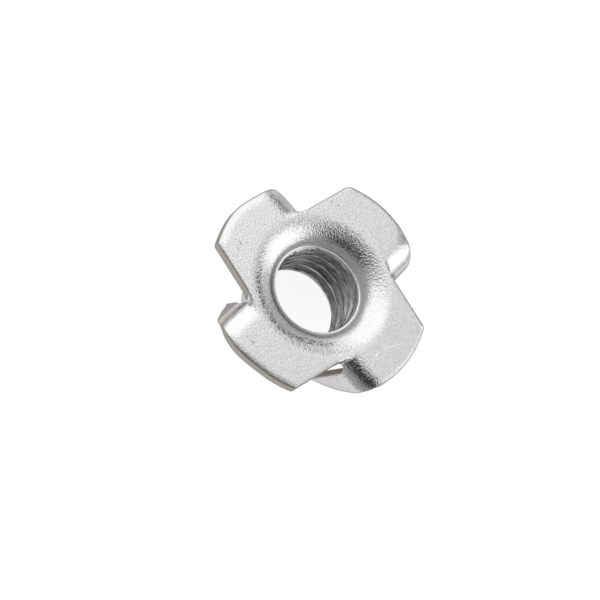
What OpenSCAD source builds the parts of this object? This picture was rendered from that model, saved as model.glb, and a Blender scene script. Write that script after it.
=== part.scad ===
// Four-prong tee nut: a round flange, four prongs sheared from its rim and folded down,
// and a short barrel drawn from the middle of the same steel sheet and tapped.
// It stands on the barrel's end, with the barrel's axis along Z and the flange face up.

/* [Flange] */
// Diameter of the round flange
flange_d = 22.5; // [21.5:0.1:26]
// Thickness of the steel sheet
sheet = 1.1; // [0.8:0.05:1.3]
// Radius of the rolled upper edge of the rim
rim_roll = 0.3; // [0.1:0.05:0.5]
// Radius of the corner where each cut leaves the rim
corner_r = 0.4; // [0.2:0.1:0.8]

/* [Barrel] */
// Height from the barrel's end to the flange face
height = 8.5; // [8:0.1:14]
// Outside diameter of the barrel
barrel_d = 11; // [10.8:0.1:12]
// Radius of the fillet between the barrel and the underside of the flange
root_r = 0.9; // [0.4:0.1:1]
// Radius of the outer edge at the barrel's end
end_r = 0.8; // [0.3:0.1:0.9]

/* [Bore] */
// Diameter of the bore at the crests of its thread
bore_d = 8.5; // [8.3:0.05:8.8]
// Diameter at which the flange face starts to sink towards the bore
mouth_d = 13.8; // [13:0.1:14]
// Radius of the draw from the flange face into the bore
draw_r = 2.9; // [2.5:0.1:4]
// Largest diameter of the countersink that follows the draw
sink_d = 9.8; // [9.3:0.1:10.4]
// Full angle of the countersink
sink_angle = 90; // [60:5:110]
// Depth of the chamfer at the bore's lower end
exit_chamfer = 0.2; // [0.1:0.05:0.4]

/* [Prongs] */
// Number of prongs
prongs = 4; // [2:1:5]
// Distance from the barrel's axis to a cut, along the notch's middle line
cut_r = 7.63; // [7.5:0.05:8.4]
// Angle between a cut and the notch's middle line
cut_angle = 71; // [66:1:76]
// Width of the slot that frees a prong from the flange, where the slot leaves the fold's web
slot = 1; // [0.8:0.05:1.2]
// Angle by which the slot narrows towards the rim
slot_taper = 6.5; // [0:0.5:8]
// Radius of the slot's inner end
slot_r = 0.45; // [0.2:0.05:0.5]
// Angle between a fold and the notch's middle line
fold_angle = 30; // [26:1:34]
// Distance from the barrel's axis to the line where a fold starts
fold_x = 2.3; // [2:0.1:3]
// Outer radius of a fold
fold_r = 2.2; // [1.8:0.05:2.6]
// Angle that a prong is folded down from the flange
fold_turn = 84; // [75:1:90]

/* [Hidden] */

$fn = 144;
flange_r = flange_d / 2;
face_z = height;
under_z = height - sheet;
// how far cutting shapes reach past what they cut
over = 1;
// how deep a fold's end is set into the sheet that it leaves
lap = 0.1;

// Draw and countersink: the draw's arc is tangent to the flange face at mouth_d.
draw_depth = draw_r - sqrt(pow(draw_r, 2) - pow((mouth_d - sink_d) / 2, 2));
sink_depth = (sink_d - bore_d) / 2 / tan(sink_angle / 2);

// Prong: x runs across the fold, y outwards along it, s along the sheet from the fold's start.
cut_slope = tan(cut_angle + fold_angle - 90);
cut_y0 = cut_r * (cos(fold_angle) + sin(fold_angle) * cut_slope);
function cut_y(x) = cut_y0 - x * cut_slope;
// the cut's nearest distance to the axis, its slope, and half of the rim's chord along it
cut_near = cut_y0 / sqrt(1 + pow(cut_slope, 2));
cut_turn = atan(cut_slope);
cut_half = sqrt(pow(flange_r, 2) - pow(cut_near, 2));
// the slot's other side, which becomes the prong's cut edge
edge_turn = cut_turn + slot_taper;
// s is measured on the outer face, so a fold takes up as much sheet as that face is long
function arc_s(turn) = fold_r * turn * PI / 180;
function rim_y(s) = sqrt(pow(flange_r, 2) - pow(fold_x + s, 2));
fold_len = arc_s(fold_turn);
// where the fold's outer face drops below the sheet, and how far down the whole fold reaches
level_len = arc_s(acos(1 - sheet / fold_r));
fold_drop = fold_r - (fold_r - sheet) * cos(fold_turn);
web_x = fold_x + level_len;
edge_y0 = cut_y(web_x) + slot / cos(cut_turn) + web_x * tan(edge_turn);
function edge_y(x) = edge_y0 - x * tan(edge_turn);

// The rim's curve round a fold is cut in straight steps that stay square to the sheet.
steps = 7;
step_turn = fold_turn / steps;
step_lap = 0.2;

// Half section of barrel and fillet, in the plane of radius and height.
module barrel_section() {
    difference() {
        union() {
            square([barrel_d / 2, face_z - sheet / 2]);
            difference() {
                translate([0, under_z - root_r]) square([barrel_d / 2 + root_r, root_r + sheet / 2]);
                translate([barrel_d / 2 + root_r, under_z - root_r]) circle(root_r);
            }
        }
        translate([barrel_d / 2 - end_r, 0]) difference() {
            translate([0, -over]) square([end_r + over, end_r + over]);
            translate([0, end_r]) circle(end_r);
        }
    }
}

// Half section of everything that is open along the axis: draw, countersink, bore and chamfer.
module bore_section() {
    translate([0, -over]) square([bore_d / 2, height + 2 * over]);
    polygon([
        [0, -over], [bore_d / 2 + exit_chamfer + over, -over],
        [bore_d / 2, exit_chamfer], [0, exit_chamfer]
    ]);
    polygon([
        [0, face_z - draw_depth - sink_depth], [bore_d / 2, face_z - draw_depth - sink_depth],
        [sink_d / 2, face_z - draw_depth], [0, face_z - draw_depth]
    ]);
    difference() {
        translate([0, face_z - draw_depth]) square([mouth_d / 2, draw_depth + over]);
        translate([mouth_d / 2, face_z - draw_r]) circle(draw_r);
    }
}

// Plan of one notch, in the prong's own axes, with the corner that it leaves on the rim rounded.
module notch_plan() {
    far = flange_r + over;
    polygon([[fold_x, cut_y(fold_x)], [far, cut_y(far)], [far, far], [fold_x, far]]);
    // centre of the corner's arc, measured along the cut and square to it
    near = cut_near - corner_r;
    half = sqrt(pow(flange_r - corner_r, 2) - pow(near, 2));
    rotate(-cut_turn) difference() {
        polygon([
            [half, near], [half, cut_near], [cut_half + over, cut_near], (1 + over / flange_r) * [half, near]
        ]);
        translate([half, near]) circle(corner_r);
    }
}

// Section of a whole prong, across its fold: level, bent through fold_turn, then straight.
module prong_section() {
    reach = 2 * flange_r;
    translate([fold_x - lap, under_z]) square([lap, sheet]);
    translate([fold_x, face_z - fold_r]) difference() {
        rotate(90 - fold_turn) difference() {
            round_and_straight(fold_r, flange_r);
            round_and_straight(fold_r - sheet, reach);
        }
        translate([-reach, -reach]) square([reach, 2 * reach]);
    }
}

// A disc, with everything below its centre that lies inside the disc's tangent at the right.
module round_and_straight(r, length) {
    circle(r);
    translate([-length, -length]) square([length + r, length]);
}

// What the slot takes from a fold, seen from the side: all below the web, up to the cut edge.
module slot_side() {
    edge = edge_y(web_x);
    edge_end = edge_y(fold_x + fold_len);
    difference() {
        polygon([[0, under_z], [edge, under_z], [edge_end, face_z - fold_drop], [0, face_z - fold_drop]]);
        translate([edge - slot_r, under_z - slot_r]) difference() {
            square(slot_r + lap);
            circle(slot_r);
        }
    }
}

// One straight step of the rim's curve round a fold, as the wedge that it takes away.
module rim_step(i) {
    mid_r = fold_r - sheet / 2;
    half = mid_r * sin(step_turn / 2);
    y0 = rim_y(arc_s(i * step_turn));
    slope = (rim_y(arc_s((i + 1) * step_turn)) - y0) / (2 * half);
    far = fold_r + over;
    wide = far * tan(step_turn / 2 + step_lap);
    translate([fold_x, 0, face_z - fold_r]) rotate([0, (i + 0.5) * step_turn, 0]) intersection() {
        linear_extrude(far) polygon([
            [-wide, y0 + slope * (half - wide)], [wide, y0 + slope * (half + wide)],
            [wide, flange_r + over], [-wide, flange_r + over]
        ]);
        rotate([90, 0, 0]) linear_extrude(2 * (flange_r + over), center = true)
            polygon([[0, 0], [wide, far], [-wide, far]]);
    }
}

// What the slot and the rim take from the leg beyond a fold, in the plan of the flat sheet.
module leg_offcut() {
    start = fold_x + fold_len;
    far = 2 * flange_r;
    difference() {
        translate([start, 0]) square(far);
        intersection() {
            circle(flange_r);
            polygon([[0, edge_y(0)], [flange_r, edge_y(flange_r)], [flange_r, far], [0, far]]);
        }
    }
}

module prong() {
    web_y = cut_y(web_x) - lap;
    difference() {
        translate([0, rim_y(0), 0]) rotate([90, 0, 0]) linear_extrude(rim_y(0) - web_y) prong_section();
        rotate([90, 0, 90]) linear_extrude(flange_r) slot_side();
        for (i = [0 : steps - 1]) rim_step(i);
        translate([fold_x, 0, face_z - fold_r]) rotate([0, fold_turn, 0])
            translate([-fold_x - fold_len, 0, fold_r - sheet - lap]) linear_extrude(sheet + 2 * lap) leg_offcut();
    }
}

module tee_nut() {
    color([0.78, 0.79, 0.8]) difference() {
        union() {
            translate([0, 0, under_z]) linear_extrude(sheet) difference() {
                circle(flange_r);
                for (i = [0 : prongs - 1]) rotate(fold_angle + i * 360 / prongs) notch_plan();
            }
            rotate_extrude() barrel_section();
            for (i = [0 : prongs - 1]) rotate(fold_angle + i * 360 / prongs) prong();
        }
        rotate_extrude() bore_section();
        rotate_extrude() translate([flange_r - rim_roll, face_z - rim_roll]) difference() {
            square(rim_roll + over);
            circle(rim_roll);
        }
    }
}

tee_nut();
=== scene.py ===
import math

import bpy
import numpy as np
from mathutils import Matrix, Vector
from mathutils.geometry import delaunay_2d_cdt


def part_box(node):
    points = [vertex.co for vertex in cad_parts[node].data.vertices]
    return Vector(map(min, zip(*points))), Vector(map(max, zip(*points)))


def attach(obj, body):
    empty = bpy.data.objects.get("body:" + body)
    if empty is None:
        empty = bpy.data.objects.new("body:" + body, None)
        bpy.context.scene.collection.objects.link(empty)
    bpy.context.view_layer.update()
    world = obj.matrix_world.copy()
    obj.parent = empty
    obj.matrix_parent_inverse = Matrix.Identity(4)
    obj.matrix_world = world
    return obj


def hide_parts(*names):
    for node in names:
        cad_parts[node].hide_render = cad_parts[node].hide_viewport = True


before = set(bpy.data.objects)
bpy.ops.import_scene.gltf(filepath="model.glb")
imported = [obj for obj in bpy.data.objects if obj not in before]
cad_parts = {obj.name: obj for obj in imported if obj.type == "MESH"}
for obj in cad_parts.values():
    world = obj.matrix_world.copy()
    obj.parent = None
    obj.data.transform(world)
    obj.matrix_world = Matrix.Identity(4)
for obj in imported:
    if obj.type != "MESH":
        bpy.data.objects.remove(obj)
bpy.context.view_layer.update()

# ---------------------------------------------------------------- the nut: its flat blank
# A disc of 1.1 mm mild steel sheet, blanked with its burr side down. Four slots are pierced in from its
# rim, each wider at its round inner end, and the strip beside each slot becomes a prong. Millimetres.
FACE_Z = 1000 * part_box("tee_nut")[1].z
SHEET = 1.1
RIM_R = 11.25
MOUTH_R = 6.95
LOBES = 4
FIRST_FOLD = math.radians(30)
WALL_SLOPE, WALL_Y = math.tan(math.radians(11)), 7.349
EDGE_SLOPE, EDGE_Y = 0.32, 8.97
SLOT_END_X = 4.72
CORNER_R = (1.0, 0.36, 0.42, 0.36)
TIP_R = 0.18
# how far each lobe's rim ends beyond the true circle, where its prong folds down
RIM_END = (-0.38, 0.34, 0.0, -0.14)
# how wide the die has rolled each lobe's rim, how much wider where its prong folds down, and a cut's edge
RIM_ROLL = (0.95, 0.7, 0.6, 0.4)
FOLD_ROLL = (0.2, 0.4, 0.5, 1.1)
CUT_ROLL = 0.25
STEP = 0.1


def turned(points, angle):
    c, s = math.cos(angle), math.sin(angle)
    return np.c_[points[:, 0] * c - points[:, 1] * s, points[:, 0] * s + points[:, 1] * c]


def arc(centre, radius, start, end, step):
    count = max(3, int(abs(end - start) * radius / step) + 1)
    a = np.linspace(start, end, count)
    return np.c_[centre[0] + radius * np.cos(a), centre[1] + radius * np.sin(a)]


def line(start, end, step):
    count = max(2, int(math.dist(start, end) / step) + 1)
    t = np.linspace(0, 1, count)[:, None]
    return np.asarray(start) * (1 - t) + np.asarray(end) * t


def smooth(low, high, value):
    t = np.clip((value - low) / (high - low), 0, 1)
    return t * t * (3 - 2 * t)


def axis_angle(lobe):
    return FIRST_FOLD + lobe * math.tau / LOBES


# a slot's sides by their slope and nearest distance to the axis: its wall, and the prong's cut edge
wall_turn, edge_turn = math.atan(WALL_SLOPE), math.atan(EDGE_SLOPE)
wall_near, edge_near = WALL_Y * math.cos(wall_turn), EDGE_Y * math.cos(edge_turn)
wall_end_y, edge_end_y = WALL_Y - WALL_SLOPE * SLOT_END_X, EDGE_Y - EDGE_SLOPE * SLOT_END_X
slot_end_r = 0.5 * (edge_end_y - wall_end_y) * math.cos(0.5 * (wall_turn + edge_turn))

outline, rolled = [], []
for lobe in range(LOBES):
    near = wall_near - CORNER_R[lobe]
    corner = (math.sqrt((RIM_R - CORNER_R[lobe]) ** 2 - near ** 2), near)
    corner_arc = arc(corner, CORNER_R[lobe], math.atan2(near, corner[0]), math.pi / 2, 0.06)
    corner_arc = turned(corner_arc, -wall_turn)
    middle = (SLOT_END_X, 0.5 * (wall_end_y + edge_end_y))
    slot_arc = arc(middle, slot_end_r, -math.pi / 2 - wall_turn, -math.pi * 1.5 - edge_turn, 0.06)
    near = edge_near + TIP_R
    tip = (math.sqrt((RIM_R - TIP_R) ** 2 - near ** 2), near)
    tip_arc = turned(arc(tip, TIP_R, -math.pi / 2, math.atan2(near, tip[0]), 0.05), -edge_turn)
    wall = line(corner_arc[-1], slot_arc[0], STEP)[1:-1]
    cut_edge = line(slot_arc[-1], tip_arc[0], STEP)[1:-1]
    next_near = wall_near - CORNER_R[(lobe + 1) % LOBES]
    rim_end = math.asin(next_near / (RIM_R - CORNER_R[(lobe + 1) % LOBES])) - wall_turn + math.tau / LOBES
    rim = arc((0, 0), RIM_R, math.atan2(tip_arc[-1][1], tip_arc[-1][0]), rim_end, STEP)[1:-1]
    rim[:, 1] += RIM_END[lobe] * smooth(-2.2, 2.0, rim[:, 0]) * smooth(7.5, 4.2, rim[:, 0])
    corner_roll = 0.5 * (CUT_ROLL + RIM_ROLL[lobe - 1])
    rim_roll = RIM_ROLL[lobe] + FOLD_ROLL[lobe] * smooth(1.0, 2.4, rim[:, 0]) * smooth(5.5, 4.0, rim[:, 0])
    rolls = (corner_roll, CUT_ROLL, CUT_ROLL, CUT_ROLL, CUT_ROLL, rim_roll)
    for part, roll in zip((corner_arc, wall, slot_arc, cut_edge, tip_arc, rim), rolls):
        outline.append(turned(part, axis_angle(lobe)))
        rolled.append(np.broadcast_to(roll, len(part)))
outline, rolled = np.concatenate(outline), np.concatenate(rolled)
for _ in range(12):
    rolled = 0.25 * np.roll(rolled, 1) + 0.5 * rolled + 0.25 * np.roll(rolled, -1)
along = np.roll(outline, -1, 0) - np.roll(outline, 1, 0)
inward = np.c_[-along[:, 1], along[:, 0]] / np.linalg.norm(along, axis=1)[:, None]


def nearest(points):
    """Distance from each point of the blank to its outline, and how wide the edge is rolled there."""
    a, ab = outline, np.roll(outline, -1, 0) - outline
    far, roll = np.zeros(len(points)), np.zeros(len(points))
    for i in range(0, len(points), 2000):
        p = points[i:i + 2000, None]
        t = np.clip(((p - a) * ab).sum(2) / (ab ** 2).sum(1), 0, 1)
        d = np.linalg.norm(p - a - t[..., None] * ab, axis=2)
        k = d.argmin(1)
        far[i:i + 2000], roll[i:i + 2000] = d[np.arange(len(k)), k], rolled[k]
    return far, roll


def inside(points, loop):
    a, b = loop, np.roll(loop, -1, 0)
    hit = np.zeros(len(points), bool)
    for i in range(0, len(points), 2000):
        x, y = points[i:i + 2000, 0, None], points[i:i + 2000, 1, None]
        crosses = (a[:, 1] > y) != (b[:, 1] > y)
        with np.errstate(divide="ignore", invalid="ignore"):
            at = a[:, 0] + (y - a[:, 1]) / (b[:, 1] - a[:, 1]) * (b[:, 0] - a[:, 0])
        hit[i:i + 2000] = (crosses & (x < at)).sum(1) % 2 == 1
    return hit


# ---------------------------------------------------------------- the nut: its folds
# Each prong is folded down through 84 degrees round an inner radius of 1.1 mm. Beside the slot's inner
# end the fold runs out into the flat flange, where the sheet is drawn down in a short steep web.
FOLD_X = (2.3, 2.34, 2.3, 2.24)
FOLD_R = (2.2, 2.22, 2.2, 2.36)
FOLD_TURN = math.radians(84)
# half the length over which each fold's curve starts, and how many times wider than the narrowest its web is
FOLD_SOFT = (1.0, 1.0, 0.7, 0.6)
WEB_WIDE = (2.0, 2.0, 1.2, 1.0)
# how much each fold is roughened by its stretching
FOLD_PEEL = (0.7, 0.25, 0.8, 0.2)
# how much dark reflection is painted where each prong was bent the furthest
FOLD_PAINTED_DARK = (0.5, 1.0, 0.5, 0.3)


def web(lobe, x, y):
    """How far the sheet beside a fold has joined it, from 0 in the flange to 1 in the prong."""
    low = WALL_Y - WALL_SLOPE * x
    wider = 1 + (WEB_WIDE[lobe] - 1) * smooth(4.5, 3.5, x)
    wide = np.minimum(0.95, wider * (0.32 + 0.3 * np.clip(3.7 - x, 0, 1.4)))
    return smooth(low, low + wide, y)


def bend(lobe):
    """Along the sheet from a fold's start: its turn, and where its upper face lies."""
    soft = FOLD_SOFT[lobe]
    s = np.linspace(-soft, 2 * RIM_R, 1500)
    turn = np.minimum(np.where(s < soft, (s + soft) ** 2 / (4 * soft), s) / FOLD_R[lobe], FOLD_TURN)
    middle, step = 0.5 * (turn[1:] + turn[:-1]), s[1] - s[0]
    x = FOLD_X[lobe] - soft + np.r_[0, np.cumsum(np.cos(middle))] * step
    return s, turn, x, -np.r_[0, np.cumsum(np.sin(middle))] * step


def folded(points, depth):
    """Places points of the blank, at a depth below its face, on the folded sheet, with how it is marked and
    where dark reflection is painted.
    """
    out = np.c_[points, FACE_Z - depth]
    bent, peeled, painted_dark_reflection = np.zeros((3, len(points)))
    for lobe in range(LOBES):
        x, y = turned(points, -axis_angle(lobe)).T
        along_s, turn_at, x_at, drop_at = bend(lobe)
        s = x - FOLD_X[lobe]
        hold = web(lobe, x, y)
        here = (s > along_s[0]) & (hold > 0) & (y > 0)
        turn = np.interp(s, along_s, turn_at)
        fold_x = np.interp(s, along_s, x_at) - depth * np.sin(turn)
        fold_z = np.interp(s, along_s, drop_at) - depth * np.cos(turn)
        x = x + hold * (fold_x - x)
        z = FACE_Z - depth + hold * (fold_z + depth)
        out[here] = np.c_[turned(np.c_[x, y], axis_angle(lobe)), z][here]
        bent[here] = (hold * smooth(-0.5, 0.4, s) * smooth(4.6, 2.6, s))[here]
        peeled[here] = FOLD_PEEL[lobe] * bent[here]
        painted_dark_reflection[here] = (FOLD_PAINTED_DARK[lobe] * hold * smooth(1.2, 2.2, s))[here]
    return out, bent, peeled, painted_dark_reflection


# ---------------------------------------------------------------- the nut: both sides of the flange
# Triangles over the blank between the mouth of the bore and the outline, finer towards both and in the
# webs. The die has drawn the rim's upper edge down in a wide soft roll, and the burr side stays sharper.
COLUMNS = 288
# where a web's finer points lie: along its fold, and below and above the slot's wall
WEB_X, WEB_BELOW, WEB_ABOVE = (2.2, 4.5), 0.12, 1.1
ROLL_SLOPE, EDGE_R, BURR_R = 0.27, 0.1, 0.05
# the face begins to sink this far from the axis, and by this slope where the mouth of the bore begins
SINK_START_R, MOUTH_SLOPE = 7.6, 0.1


def blank_mesh(hole_r, inset, rings, spacing, web_spacing):
    a = np.arange(COLUMNS) * math.tau / COLUMNS
    hole = hole_r * np.c_[np.cos(a), np.sin(a)]
    edge = outline + inset * inward
    points = [hole, edge]
    for depth, skip in rings:
        ring = (outline + depth * inward)[::skip]
        points.append(ring[nearest(ring)[0] > 0.96 * depth])
    clear = rings[-1][0] + 0.5 * spacing
    x, y = np.meshgrid(np.arange(*WEB_X, web_spacing), np.arange(0, WEB_ABOVE, web_spacing))
    patch = np.c_[x.ravel(), (y + WALL_Y - WEB_BELOW - WALL_SLOPE * x).ravel()]
    rows = int(RIM_R / spacing / 0.866) + 1
    grid = np.array([((i + 0.5 * (j % 2)) * spacing, j * spacing * 0.866)
                     for j in range(-rows, rows + 1) for i in range(-rows - 1, rows + 1)])
    r = np.hypot(grid[:, 0], grid[:, 1])
    grid = grid[(r > hole_r + 0.6 * spacing) & (r < RIM_R + 0.5)]
    grid = grid[inside(grid, edge)]
    grid = grid[nearest(grid)[0] > clear]
    for lobe in range(LOBES):
        own = turned(grid, -axis_angle(lobe))
        up = own[:, 1] - WALL_Y + WALL_SLOPE * own[:, 0]
        pad = 0.6 * spacing
        beside = (own[:, 0] > WEB_X[0] - pad) & (own[:, 0] < WEB_X[1] + pad)
        grid = grid[~(beside & (up > -WEB_BELOW - pad) & (up < WEB_ABOVE + pad))]
        fine = turned(patch, axis_angle(lobe))
        fine = fine[inside(fine, edge) & (np.hypot(fine[:, 0], fine[:, 1]) > hole_r + 0.1)]
        far = nearest(fine)[0]
        points.append(fine[far > clear])
    points.append(grid)
    flat = np.concatenate(points)
    n, m = len(hole), len(edge)
    loops = [(i, (i + 1) % n) for i in range(n)] + [(n + i, n + (i + 1) % m) for i in range(m)]
    co, _, faces, _, _, _ = delaunay_2d_cdt([Vector(p) for p in flat], loops, [], 0, 1e-7)
    if len(co) != len(flat):
        raise ValueError("some of the blank's points coincide")
    faces = np.array([f for f in faces if len(f) == 3])
    middle = flat[faces].mean(1)
    return flat, faces[inside(middle, edge) & ~inside(middle, hole)]


rim_rings = [(0.012, 1), (0.03, 1), (0.06, 1), (0.1, 1), (0.16, 2), (0.25, 2), (0.38, 2)]
face_flat, face_tri = blank_mesh(MOUTH_R, 0.0, rim_rings, 0.2, 0.07)
gap, roll = nearest(face_flat)
gap[COLUMNS:COLUMNS + len(outline)] = 0
sink = 0.5 * ROLL_SLOPE * roll * np.clip(1 - gap / roll, 0, 1) ** 2
mouth_wide = SINK_START_R - MOUTH_R
sunk = np.clip(SINK_START_R - np.hypot(face_flat[:, 0], face_flat[:, 1]), 0, mouth_wide) / mouth_wide
sink += 0.5 * MOUTH_SLOPE * mouth_wide * sunk ** 2
sink += EDGE_R - np.sqrt(EDGE_R ** 2 - np.clip(EDGE_R - gap, 0, EDGE_R) ** 2)
face_3d, face_bent, face_peeled, face_painted_dark = folded(face_flat, sink)

ROOT_R = 6.4
back_flat, back_tri = blank_mesh(ROOT_R, BURR_R, [(0.12, 1), (0.3, 2)], 0.4, 0.13)
back_3d, _, _, back_painted_dark = folded(back_flat, np.full(len(back_flat), SHEET))

edge_sink = sink[COLUMNS:COLUMNS + len(outline)]
wall_rows = []
for t in (0.08, 0.25, 0.45, 0.65, 0.85, 1.0):
    wall_rows.append(folded(outline, edge_sink + (SHEET - BURR_R - edge_sink) * t)[0])
wall_rows.append(folded(outline + 0.3 * BURR_R * inward, np.full(len(outline), SHEET - 0.3 * BURR_R))[0])

# ---------------------------------------------------------------- the nut: barrel, bore and thread
# The barrel is drawn from the middle of the sheet, its mouth is countersunk, and the bore is roll
# tapped M10 x 1.5, right-hand: the thread starts below the countersink's lip and fades at the end.
SINK_R = 4.9
LIP_R = 4.44
BEAD_R = 0.03
LAND_R = 4.54
CONE_TURN = math.radians(50)
LAND_TURN = math.radians(15)
CREST_R = 4.25
THREAD_ROOT_R = 4.98
PITCH = 1.5
THREAD_START = math.radians(150)
# the torn crescent at the thread's start: its depth, and in degrees its deep end, start and length
CRESCENT_DEEP, CRESCENT_TO, CRESCENT_FROM, CRESCENT_LONG = 0.3, (66, 80), 158, 66
# a bright sliver below it: its depth at an angle in degrees, how that deepens, and its middle
SLIVER_DEEP, SLIVER_AT, SLIVER_SLOPE, SLIVER_MIDDLE = 0.9, 67.5, 0.034, 59
END_R = 4.5
BARREL_R = 5.5
BARREL_EDGE = 0.8
FILLET = 0.9
angles = np.arange(COLUMNS) * math.tau / COLUMNS


def ring(radius, z):
    radius = np.broadcast_to(radius, angles.shape)
    return np.c_[radius * np.cos(angles), radius * np.sin(angles), np.full(angles.shape, z)]


# the draw's slope grows fast at its mouth, slowly in the middle and fast again near the countersink
DRAW_R_AT = (4.9, 5.0, 5.2, 5.4, 5.6, 5.8, 6.0, 6.2, 6.4, 6.6, 6.8, 6.95)
DRAW_TURN_AT = (46, 43, 36, 30, 26, 23, 20.5, 18, 15.5, 12.5, 9, 5.7)
bore = []
draw_depth = 0.5 * MOUTH_SLOPE * mouth_wide
draw_rings = np.linspace(MOUTH_R, SINK_R, 27)
for before, r in zip(draw_rings, draw_rings[1:]):
    slope_here = np.interp(0.5 * (before + r), DRAW_R_AT, DRAW_TURN_AT)
    draw_depth += (before - r) * math.tan(math.radians(slope_here))
    bore.append(ring(r, FACE_Z - draw_depth))
cone_depth = (SINK_R - LAND_R) * math.tan(CONE_TURN)
lip_depth = draw_depth + cone_depth + (LAND_R - LIP_R) * math.tan(LAND_TURN)
for t in (0.25, 0.5, 0.75, 1.0):
    bore.append(ring(SINK_R + t * (LAND_R - SINK_R), FACE_Z - draw_depth - t * cone_depth))
bore.append(ring(0.5 * (LAND_R + LIP_R), FACE_Z - 0.5 * (draw_depth + cone_depth + lip_depth)))
# the countersink ends in a narrow land, with a fine bead pushed up round its edge
for a in np.radians([0, 45, 90, 135, 180]):
    bore.append(ring(LIP_R + BEAD_R * (math.cos(a) - 1), FACE_Z - lip_depth + BEAD_R * math.sin(a)))

end_depth = FACE_Z - 0.12
ragged = np.random.default_rng(7).normal(0, 1, COLUMNS)
torn_at = []
rows = int((end_depth - lip_depth) / PITCH * 24)
for i in range(rows + 1):
    depth = lip_depth + 0.02 + (end_depth - lip_depth - 0.02) * i / rows
    turns = (depth - lip_depth) / PITCH - (THREAD_START - angles) / math.tau
    off_crest = np.abs((turns + 0.5) % 1 - 0.5)
    flank = np.clip((off_crest - 0.09) / 0.33, 0, 1)
    full = smooth(0, 0.9, depth - lip_depth) * smooth(0, 0.5, end_depth - depth)
    plain = LIP_R - 2 * BEAD_R
    thread = CREST_R + (THREAD_ROOT_R - CREST_R) * flank
    # where the thread starts it is torn into a slanting crescent below the lip
    degrees, below = np.degrees(angles), depth - lip_depth
    torn = CRESCENT_DEEP * np.clip((CRESCENT_FROM - degrees) / CRESCENT_LONG, 0, 1)
    torn = torn * smooth(*CRESCENT_TO, degrees) + 0.06 * ragged
    part = smooth(torn, torn - 0.12, below) * smooth(0.05, 0.2, torn)
    off_sliver = np.abs(below - SLIVER_DEEP - (SLIVER_AT - degrees) * SLIVER_SLOPE)
    sliver = smooth(0.08, 0.03, off_sliver) * (np.abs(degrees - SLIVER_MIDDLE) < 9)
    slant = plain - 1.5 * below
    radius = plain + full * (thread - plain)
    radius = radius + part * (slant - radius) - 0.05 * sliver
    bore.append(ring(radius, FACE_Z - depth))
    torn_at.append((len(bore) - 1, np.maximum(part, sliver)))
for a in np.radians([0, 30, 60, 90]):
    bore.append(ring(END_R - 0.09 * math.cos(a), 0.09 - 0.09 * math.sin(a)))
for a in np.radians(np.linspace(0, 90, 9)):
    bore.append(ring(BARREL_R - BARREL_EDGE * (1 - math.sin(a)), BARREL_EDGE * (1 - math.cos(a))))
under = FACE_Z - SHEET
for z in np.linspace(BARREL_EDGE, under - FILLET, 10)[1:]:
    bore.append(ring(BARREL_R, z))
for a in np.radians(np.linspace(0, 90, 9))[1:-1]:
    bore.append(ring(BARREL_R + FILLET * (1 - math.cos(a)), under - FILLET * (1 - math.sin(a))))

# The surfaces share their edges, so the nut is one closed skin.
parts = [face_3d, *wall_rows, back_3d, *bore]
first = np.cumsum([0] + [len(p) for p in parts])
edge_count = len(outline)
back_at, bore_at = first[1 + len(wall_rows)], first[2 + len(wall_rows)]
wall_loops = [COLUMNS] + [first[1 + i] for i in range(len(wall_rows))] + [back_at + COLUMNS]
bore_loops = [0] + [first[2 + len(wall_rows) + i] for i in range(len(bore))] + [back_at]


def strip(upper, lower, count):
    i = np.arange(count)
    j = (i + 1) % count
    return np.c_[upper + i, lower + i, lower + j, upper + j]


wall_quads = [strip(a, b, edge_count) for a, b in zip(wall_loops, wall_loops[1:])]
bore_quads = [strip(a, b, COLUMNS)[:, ::-1] for a, b in zip(bore_loops, bore_loops[1:])]
quads = np.concatenate(wall_quads + bore_quads).tolist()
triangles = np.concatenate([face_tri, back_tri[:, ::-1] + back_at]).tolist()
skin = bpy.data.meshes.new("tee_nut_skin")
skin.from_pydata((np.concatenate(parts) * 0.001).tolist(), [], triangles + quads)
skin.update()
skin.polygons.foreach_set("use_smooth", np.ones(len(skin.polygons), bool))

# how bent, sheared and stretched the sheet is, and where dark reflection is painted on it, for the finish
bent = np.zeros(first[-1])
bent[:len(face_3d)] = face_bent
sheared = np.zeros(first[-1])
sheared[len(face_3d):back_at] = 1
sheared[:len(face_3d)] = smooth(0.2, 0.04, gap)
peeled = np.zeros(first[-1])
peeled[:len(face_3d)] = face_peeled
torn = np.zeros(first[-1])
for i, values in torn_at:
    torn[first[2 + len(wall_rows) + i]:][:COLUMNS] = values
# painted dark reflection on the far part of each prong's bend, on both sides of the sheet
painted_dark_reflection = np.zeros(first[-1])
painted_dark_reflection[:len(face_3d)] = face_painted_dark
painted_dark_reflection[back_at:bore_at] = back_painted_dark
marks = {"bent": bent, "peeled": peeled, "sheared": sheared, "painted_dark_reflection": painted_dark_reflection, "torn": torn}
for name, values in marks.items():
    skin.attributes.new(name, "FLOAT", "POINT").data.foreach_set("value", values)
nut = bpy.data.objects.new("pressed_tee_nut", skin)
bpy.context.scene.collection.objects.link(nut)
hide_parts("tee_nut")
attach(nut, "root")
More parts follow.
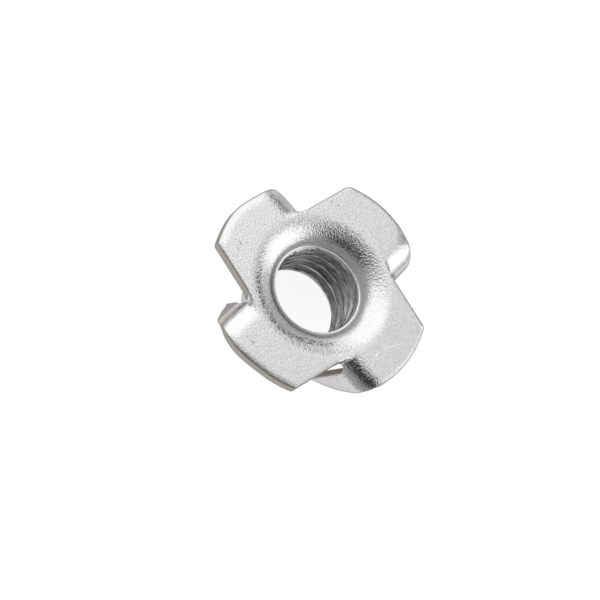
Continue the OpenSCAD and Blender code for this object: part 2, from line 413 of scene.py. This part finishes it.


# ---------------------------------------------------------------- the nut: zinc plate
# Bright satin zinc over pressed steel: smooth and finely mottled on the face, roughened like orange
# peel where the sheet was drawn or bent, turned smooth in the countersink, darker on the sheared edges.
# Painted light: a warm dark reflection on the sheared edges and the prongs' bends, a dotted ring of
# dark reflection beside the mouth, and shade dimming the thread's crests.
class Mix:
    """One output of a material's node tree. Arithmetic on it adds the Math nodes that do it."""

    def __init__(self, tree, socket=None):
        self.tree, self.socket = tree, socket

    def make(self, kind, settings, sockets, output=0):
        node = self.tree.nodes.new(kind)
        for name, value in settings.items():
            setattr(node, name, value)
        for name, value in sockets.items():
            target = node.inputs[name]
            if isinstance(value, Mix):
                self.tree.links.new(value.socket, target)
            else:
                target.default_value = value
        return Mix(self.tree, node.outputs[output])

    def math(self, operation, *values):
        return self.make("ShaderNodeMath", {"operation": operation}, dict(enumerate(values)))

    def root(self):
        return self.math("SQRT", self)

    def sine(self):
        return self.math("SINE", self)

    def at_least(self, other):
        return self.math("MAXIMUM", self, other)

    def at_most(self, other):
        return self.math("MINIMUM", self, other)

    def __add__(self, other):
        return self.math("ADD", self, other)

    def __sub__(self, other):
        return self.math("SUBTRACT", self, other)

    def __rsub__(self, other):
        return self.math("SUBTRACT", other, self)

    def __mul__(self, other):
        return self.math("MULTIPLY", self, other)

    def __truediv__(self, other):
        return self.math("DIVIDE", self, other)

    __radd__, __rmul__ = __add__, __mul__

    def ramp(self, low, high):
        """0 below low, 1 above high, and a smooth step between; low may be the larger."""
        settings = {"interpolation_type": "SMOOTHSTEP"}
        if low > high:
            return 1 - self.ramp(high, low)
        return self.make("ShaderNodeMapRange", settings, {"Value": self, "From Min": low, "From Max": high})


# the plate's brightness and roughness on the flat face, and the depth of its relief in metres
PLATE_SHADE, PLATE_ROUGH = 0.9, 0.27
RELIEF = 0.00003
# turning marks in the countersink, in radians per millimetre of radius
TURNING = 48
# middle radius of the dotted ring of painted dark reflection beside the mouth, and how far it drifts inwards
PAINTED_RING_R, PAINTED_RING_DRIFT = 6.55, 0.75
zinc = bpy.data.materials.new("zinc_plate")
zinc.use_nodes = True
skin.materials.append(zinc)
tree = zinc.node_tree
shader = tree.nodes["Principled BSDF"]
mix = Mix(tree)
place = mix.make("ShaderNodeTexCoord", {}, {}, output="Object")
place = mix.make("ShaderNodeVectorMath", {"operation": "SCALE"}, {0: place, "Scale": 1000.0})
x, y, z = (mix.make("ShaderNodeSeparateXYZ", {}, {0: place}, output=i) for i in range(3))
radius = (x * x + y * y).root()
bent, peeled, sheared, painted_dark_reflection, torn = (
    mix.make("ShaderNodeAttribute", {"attribute_name": name}, {}, output="Fac") for name in marks)


def noise(scale, detail=2.0, roughness=0.5, at=place):
    """Noise about 0.5, whose grains are about 1 / scale millimetres."""
    sockets = {"Vector": at, "Scale": scale, "Detail": detail, "Roughness": roughness}
    return mix.make("ShaderNodeTexNoise", {}, sockets, output=0)


on_top = z.ramp(6.9, 7.0)
drawn = radius.ramp(7.25, 6.95) * radius.ramp(4.55, 4.7) * on_top
in_bore = radius.ramp(5.1, 5.0) * z.ramp(7.0, 6.95)
peel = noise(5.5, 2.0, 0.6)
mottle = noise(0.9, 3.0, 0.6)
# fine marks run round the bore, at a slight slant against the thread's own
turn = y.math("ARCTAN2", y, x)
climb = z + turn * (PITCH / math.tau)
along = mix.make("ShaderNodeCombineXYZ", {}, {0: x * 0.35, 1: y * 0.35, 2: climb * 5})
streaks = noise(1.0, 3.0, 0.65, along)
fine_lines = noise(3.0, 2.0, 0.6, along)
# the sheet roughens most where it is stretched across its rolling direction
across = x * y * 2.0 / (radius * radius)
rough_sheet = drawn * (0.9 + 0.7 * across) + peeled
# handling marks on the face: where each starts and ends, its half width and depth
SCRATCHES = (
    ((4.6, -7.25), (6.77, -7.09), 0.09, 0.5),
    ((3.32, 6.13), (3.78, 5.43), 0.1, 0.9),
    ((-7.4, 5.73), (-7.2, 5.28), 0.08, 0.6),
    ((-7.77, 5.16), (-7.65, 4.84), 0.07, 0.5),
    ((-0.23, 8.32), (-0.57, 6.8), 0.09, 1.0),
    ((0.27, 8.15), (-0.17, 6.64), 0.09, 1.0),
    ((0.66, 7.99), (0.53, 7.17), 0.08, 0.8),
    ((3.43, 8.33), (3.61, 8.2), 0.09, 1.0),
    ((4.05, 7.82), (4.13, 7.7), 0.09, 1.0),
    ((-9.25, -3.71), (-9.18, -3.82), 0.08, 1.0),
    ((-8.88, -4.27), (-8.73, -4.5), 0.08, 1.0),
    ((3.09, -8.19), (3.97, -7.51), 0.07, 0.4),
)


def scratch(start, end, wide):
    """1 along a straight mark on the face, 0 beside it."""
    dx, dy = end[0] - start[0], end[1] - start[1]
    t = ((x - start[0]) * dx + (y - start[1]) * dy) * (1 / (dx * dx + dy * dy))
    t = t.at_least(0.0).at_most(1.0)
    off_x, off_y = x - start[0] - t * dx, y - start[1] - t * dy
    off = (off_x * off_x + off_y * off_y).root()
    return off.ramp(wide, 0.3 * wide) * on_top


# the punch has left fine upright draw marks on the barrel
outside = radius.ramp(5.3, 5.4) * z.ramp(7.3, 6.9)
upright = mix.make("ShaderNodeCombineXYZ", {}, {0: x * 5, 1: y * 5, 2: z * 0.25})
draw_marks = noise(1.0, 3.0, 0.6, upright)
turning = (radius * TURNING).sine() * radius.ramp(5.7, 5.3) * radius.ramp(4.5, 4.6) * on_top
height = (peel - 0.5) * (0.84 + 0.95 * rough_sheet + 1.4 * torn) + turning * 0.05
for start, end, wide, deep in SCRATCHES:
    height = height - deep * scratch(start, end, wide)
height = height + in_bore * ((streaks - 0.5) * 3.8 + (fine_lines - 0.5) * 1.2)
height = height + outside * (draw_marks - 0.5) * 1.2
relief = {"Strength": 1.0, "Distance": RELIEF, "Height": height}
bump = mix.make("ShaderNodeBump", {}, relief, output="Normal")
tree.links.new(bump.socket, shader.inputs["Normal"])

# painted shade dims the thread's crests, in patches; the bore is also darker in streaks
painted_crest_shade = radius.ramp(4.42, 4.3) * (0.3 + 0.7 * mottle.ramp(0.4, 0.6))
smear_and_crest_shade = 0.08 + 0.35 * streaks.ramp(0.6, 0.36) + 0.25 * fine_lines.ramp(0.6, 0.4) + 0.32 * painted_crest_shade
smear_and_crest_shade = smear_and_crest_shade * in_bore * (1 - torn)
# the sheared edges, and a thin band of the face beside them, are darker: partly their own rough cut, partly
# a painted dark reflection
shade = PLATE_SHADE + 0.08 * (mottle - 0.5) - 0.42 * sheared - 0.25 * painted_dark_reflection * (1 - sheared)
shade = shade - (0.04 + 0.12 * rough_sheet) * peel.ramp(0.44, 0.34) * (1 - in_bore)
shade = shade - outside * (0.1 + 0.1 * draw_marks.ramp(0.5, 0.7))
# a dotted ring of dark reflection is painted on one side of the mouth
painted_ring_offset = radius - PAINTED_RING_R + PAINTED_RING_DRIFT * (0.0 - y / radius).ramp(0.5, 1.0)
painted_dark_ring = painted_ring_offset.ramp(0.4, 0.2) * painted_ring_offset.ramp(-0.35, -0.15) * (0.0 - x / radius).ramp(-0.1, 0.2)
painted_dark_ring = painted_dark_ring * on_top * (1 - 0.65 * (y / radius).ramp(0.2, 0.75))
shade = shade - 0.04 * drawn - 0.5 * painted_dark_ring * peel.ramp(0.53, 0.45)
shade = shade * (1 - smear_and_crest_shade)
# a painted reflection of a brown thing warms the sheared edges and the prongs' painted dark reflection
painted_warm_reflection = (sheared + painted_dark_reflection).at_most(1.0)
colour = mix.make("ShaderNodeCombineColor", {}, {0: shade, 1: shade - 0.02 * painted_warm_reflection, 2: shade - 0.045 * painted_warm_reflection})
tree.links.new(colour.socket, shader.inputs["Base Color"])
rough = PLATE_ROUGH + 0.08 * (mottle - 0.5) + 0.2 * sheared + 0.1 * in_bore
rough = rough - 0.05 * torn - 0.13 * (drawn + bent)
# the countersink's cone is left coarse
rough = rough + 0.3 * radius.ramp(5.05, 4.92) * radius.ramp(4.54, 4.6) * on_top
tree.links.new(rough.socket, shader.inputs["Roughness"])
shader.inputs["Metallic"].default_value = 1
shader.inputs["Specular Tint"].default_value = (0.4, 0.4, 0.4, 1)

# ---------------------------------------------------------------- floor
# A large round card, white and matt, lying level. The nut stands on it on the end of its barrel,
# and nothing holds it there but its weight.
FLOOR_R = 12
# the white that the card gives to the eye, and what the metal mirrors of it far off and close by
CARD_WHITE, CARD_FAR, CARD_NEAR = 0.88, 0.2, 0.66
floor_mesh = bpy.data.meshes.new("floor")
card = [(FLOOR_R * math.cos(a), FLOOR_R * math.sin(a), 0.0) for a in np.arange(96) * math.tau / 96]
floor_mesh.from_pydata(card, [], [range(96)])
floor = bpy.data.objects.new("floor", floor_mesh)
bpy.context.scene.collection.objects.link(floor)
white = bpy.data.materials.new("white_card")
white.use_nodes = True
floor_mesh.materials.append(white)
paper = Mix(white.node_tree)
card_shader = white.node_tree.nodes["Principled BSDF"]
card_shader.inputs["Base Color"].default_value = (0.3, 0.3, 0.3, 1)
card_shader.inputs["Roughness"].default_value = 1
card_shader.inputs["Specular IOR Level"].default_value = 0
card_shader.inputs["Emission Strength"].default_value = 1
seen = paper.make("ShaderNodeLightPath", {}, {}, output="Is Camera Ray")
mirrored = paper.make("ShaderNodeLightPath", {}, {}, output="Is Glossy Ray")
through = paper.make("ShaderNodeLightPath", {}, {}, output="Is Transmission Ray")
# only the card close to the nut is bright enough to light the metal from below
spot = paper.make("ShaderNodeTexCoord", {}, {}, output="Object")
away = paper.make("ShaderNodeVectorMath", {"operation": "LENGTH"}, {0: spot}, output="Value")
glow = CARD_WHITE * (seen + through) + mirrored * (CARD_FAR + CARD_NEAR * away.ramp(0.07, 0.02))
glow = paper.make("ShaderNodeCombineColor", {}, {0: glow, 1: glow, 2: glow})
white.node_tree.links.new(glow.socket, card_shader.inputs["Emission Color"])

# ---------------------------------------------------------------- light
# Two softboxes, hung 0.6 m from the nut, in a dim room that is darkest behind the camera. Its few
# soft patches stand for the walls and windows that bright metal mirrors.
BOX_DISTANCE = 0.6


def softbox(name, azimuth, elevation, width, height, radiance):
    a, e = math.radians(azimuth), math.radians(elevation)
    out = Vector((math.cos(a) * math.cos(e), math.sin(a) * math.cos(e), math.sin(e)))
    lamp = bpy.data.lights.new(name, "AREA")
    lamp.shape = "RECTANGLE"
    lamp.size, lamp.size_y = width, height
    lamp.energy = radiance * math.pi * width * height
    box = bpy.data.objects.new(name, lamp)
    facing = out.to_track_quat("Z", "Y").to_matrix().to_4x4()
    box.matrix_world = Matrix.Translation(out * BOX_DISTANCE) @ facing
    box.visible_camera = False
    bpy.context.scene.collection.objects.link(box)


softbox("upper_softbox", 89.5, 50.5, 0.70, 0.66, 0.76)
softbox("right_softbox", -27.5, 32, 0.54, 0.73, 0.84)

world = bpy.data.worlds.new("studio")
world.use_nodes = True
bpy.context.scene.world = world
air = Mix(world.node_tree)
toward = air.make("ShaderNodeTexCoord", {}, {}, output="Generated")


def patch(azimuth, elevation, wide, value):
    """A soft round patch of the room, of an angular radius in degrees."""
    a, e = math.radians(azimuth), math.radians(elevation)
    axis = (math.cos(a) * math.cos(e), math.sin(a) * math.cos(e), math.sin(e))
    product = {"operation": "DOT_PRODUCT"}
    facing = air.make("ShaderNodeVectorMath", product, {0: toward, 1: axis}, output="Value")
    return value * facing.ramp(math.cos(math.radians(wide)), math.cos(math.radians(0.6 * wide)))


# the room's level, and its patches by azimuth, elevation, angular radius, and how much each one adds
ROOM_LEVEL, BACKDROP_WHITE = 0.37, 0.98
ROOM_PATCHES = (
    (243, 63, 42, -0.33),
    (20, 38, 12, -0.32),
    (42, 26, 12, -0.32),
    (16, 18, 10, 0.55),
    (37, 10, 10, 0.55),
    (27, 61, 22, 0.08),
    (65, 3, 30, 0.25),
    (-40, 3, 22, -0.25),
)
room = ROOM_LEVEL
for row in ROOM_PATCHES:
    room = room + patch(*row)
seen = air.make("ShaderNodeLightPath", {}, {}, output="Is Camera Ray")
room = room.at_least(BACKDROP_WHITE * seen)
room = air.make("ShaderNodeCombineColor", {}, {0: room, 1: room, 2: room})
sky = world.node_tree.nodes["Background"]
world.node_tree.links.new(room.socket, sky.inputs["Color"])
sky.inputs["Strength"].default_value = 1
bpy.context.scene.view_settings.view_transform = "Standard"

# ---------------------------------------------------------------- camera
# A long lens, 0.28 m from the nut, looking down at the flange's face. It leans to one side, so
# that the bore's far wall shows its thread.
CAMERA_AT = Vector((-0.119943, -0.060126, 0.245615))
CAMERA_RIGHT = Vector((0.88947, -0.26243, 0.37414))
CAMERA_UP = Vector((0.14808, 0.94002, 0.30731))
CAMERA_BACK = Vector((-0.43235, -0.21794, 0.87497))
lens = bpy.data.cameras.new("camera")
lens.sensor_width = 36
lens.lens = 168
lens.clip_start = 0.01
camera = bpy.data.objects.new("camera", lens)
turned_by = Matrix((CAMERA_RIGHT, CAMERA_UP, CAMERA_BACK)).transposed()
camera.matrix_world = Matrix.Translation(CAMERA_AT) @ turned_by.to_4x4()
bpy.context.scene.collection.objects.link(camera)
bpy.context.scene.camera = camera
